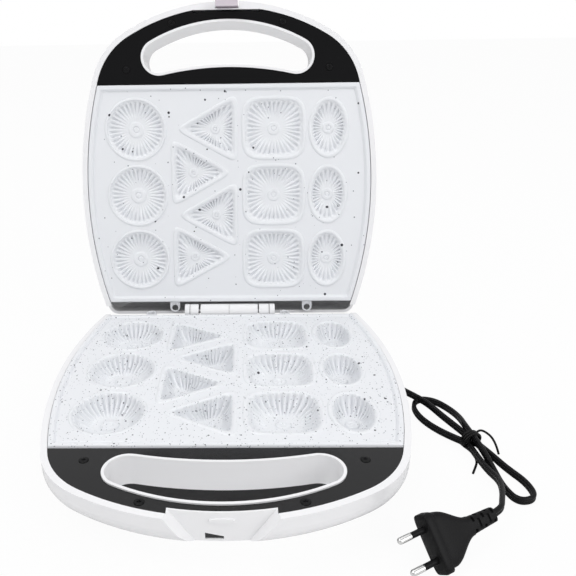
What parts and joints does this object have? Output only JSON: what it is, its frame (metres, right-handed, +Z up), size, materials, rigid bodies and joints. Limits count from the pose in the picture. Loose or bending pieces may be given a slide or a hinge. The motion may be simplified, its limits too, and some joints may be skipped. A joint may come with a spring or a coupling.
{
  "type": "madeleine maker",
  "caption": "Clamshell cake maker with fluted round, square, oval and triangular cavities, carry handles, a lid latch and a tied mains lead",
  "frame": {"origin": "on the table, under the middle of the open object's footprint, cord left out", "axes": "+Z up, -Y towards the front and its handles, +X to the right; stored with the lid open on its stop"},
  "size_m": [0.3423, 0.3644, 0.315],
  "materials": {
    "base_shell": "glossy white moulded plastic",
    "base_bottom_cover": "matte black moulded plastic",
    "base_handle_panel": "glossy black plastic",
    "base_plate": "white speckled non-stick coating on cast aluminium",
    "base_heater": "dull steel sheath",
    "base_reflector": "bright sheet",
    "base_thermostat": "pressed steel can",
    "thermal_fuse": "plated can",
    "terminal_block": "natural plastic",
    "heater_leads": "silicone sleeved wire",
    "base_panel_screws": "black steel screws",
    "cover_screws": "zinc plated steel",
    "rubber_feet": "black rubber",
    "hinge_pin": "steel rod",
    "lid_shell": "glossy white moulded plastic",
    "lid_handle_panel": "glossy black plastic",
    "lid_plate": "white speckled non-stick coating on cast aluminium",
    "lid_heater": "dull steel sheath",
    "lid_reflector": "bright sheet",
    "lid_panel_screws": "black steel screws",
    "indicator_lenses": "translucent red plastic",
    "lamp_holder": "natural plastic",
    "latch_pin": "steel pin",
    "latch_clip": "faintly pink translucent plastic",
    "cord_gland": "black soft plastic",
    "cord_lead": "black soft plastic",
    "cord_hank": "black soft plastic",
    "cord_tail": "black soft plastic",
    "cord_tie": "black plastic coated wire",
    "plug_body": "black moulded plastic",
    "plug_pins": "nickel plated brass, half sleeved"
  },
  "bodies": {
    "base": {"base_shell": "base_shell", "base_bottom_cover": "base_bottom_cover", "base_handle_panel": "base_handle_panel", "base_plate": "base_plate", "base_heater": "base_heater", "base_reflector": "base_reflector", "base_thermostat": "base_thermostat", "thermal_fuse": "thermal_fuse", "terminal_block": "terminal_block", "heater_leads": "heater_leads", "base_panel_screws": "base_panel_screws", "cover_screws": "cover_screws", "rubber_feet": "rubber_feet", "hinge_pin": "hinge_pin", "cord_gland": "cord_gland", "cord_lead": "cord_lead", "cord_hank": "cord_hank", "cord_tail": "cord_tail", "cord_tie": "cord_tie", "plug_body": "plug_body", "plug_pins": "plug_pins"},
    "lid": {"lid_shell": "lid_shell", "lid_handle_panel": "lid_handle_panel", "lid_plate": "lid_plate", "lid_heater": "lid_heater", "lid_reflector": "lid_reflector", "lid_panel_screws": "lid_panel_screws", "indicator_lenses": "indicator_lenses", "lamp_holder": "lamp_holder", "latch_pin": "latch_pin"},
    "latch": {"latch_clip": "latch_clip"}
  },
  "joints": [
    {"name": "lid_hinge", "type": "hinge", "parent": "base", "child": "lid", "pos_m": [0, 0.08867, 0.0475], "axis": [1, 0, 0], "range_deg": [0, 102.6]},
    {"name": "latch_pivot", "type": "hinge", "parent": "lid", "child": "latch", "pos_m": [0, 0.1584, 0.30673], "axis": [1, 0, 0], "range_deg": [-12, 2.6]}
  ]
}
